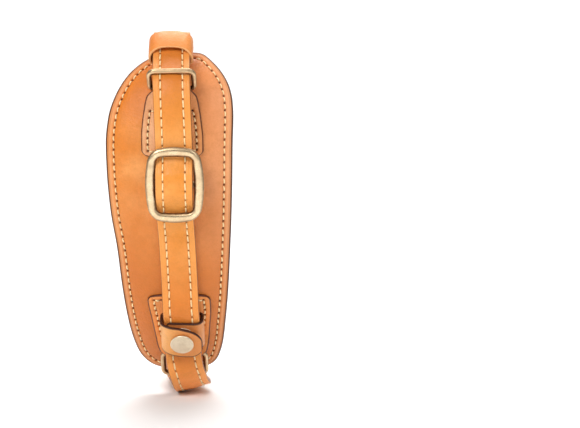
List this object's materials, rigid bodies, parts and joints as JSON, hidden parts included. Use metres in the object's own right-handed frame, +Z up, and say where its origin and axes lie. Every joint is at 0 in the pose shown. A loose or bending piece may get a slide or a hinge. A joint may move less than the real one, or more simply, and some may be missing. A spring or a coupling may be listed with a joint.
{
  "type": "camera hand strap",
  "caption": "Padded leather camera hand strap: a shaped pad, one doubled strap through a slide buckle and rings, with loops for a strap lug and a base plate bar.",
  "frame": {"origin": "middle of the upper fold, the loop that hangs on the camera's strap lug", "axes": "+Z up along the strap, +X to the viewer's right across the strap, +Y away from the viewer through the hand space towards the camera"},
  "size_m": [0.0414, 0.0801, 0.1236],
  "materials": {
    "saddle_leather": "waxed vegetable-tanned leather, tan orange",
    "pad_leather": "soft tan leather with burnished edges",
    "lining_leather": "matte natural lining over thin padding",
    "antique_brass": "satin antique brass"
  },
  "bodies": {
    "root": {"pad_face": "pad_leather", "pad_back": "lining_leather", "top_patch": "pad_leather", "base_patch": "pad_leather", "top_ring": "antique_brass", "base_ring": "antique_brass", "strap": "saddle_leather", "slide": "antique_brass", "top_keeper": "saddle_leather", "snap_keeper": "saddle_leather", "snap_cap": "antique_brass", "snap_stud": "antique_brass"}
  },
  "joints": []
}
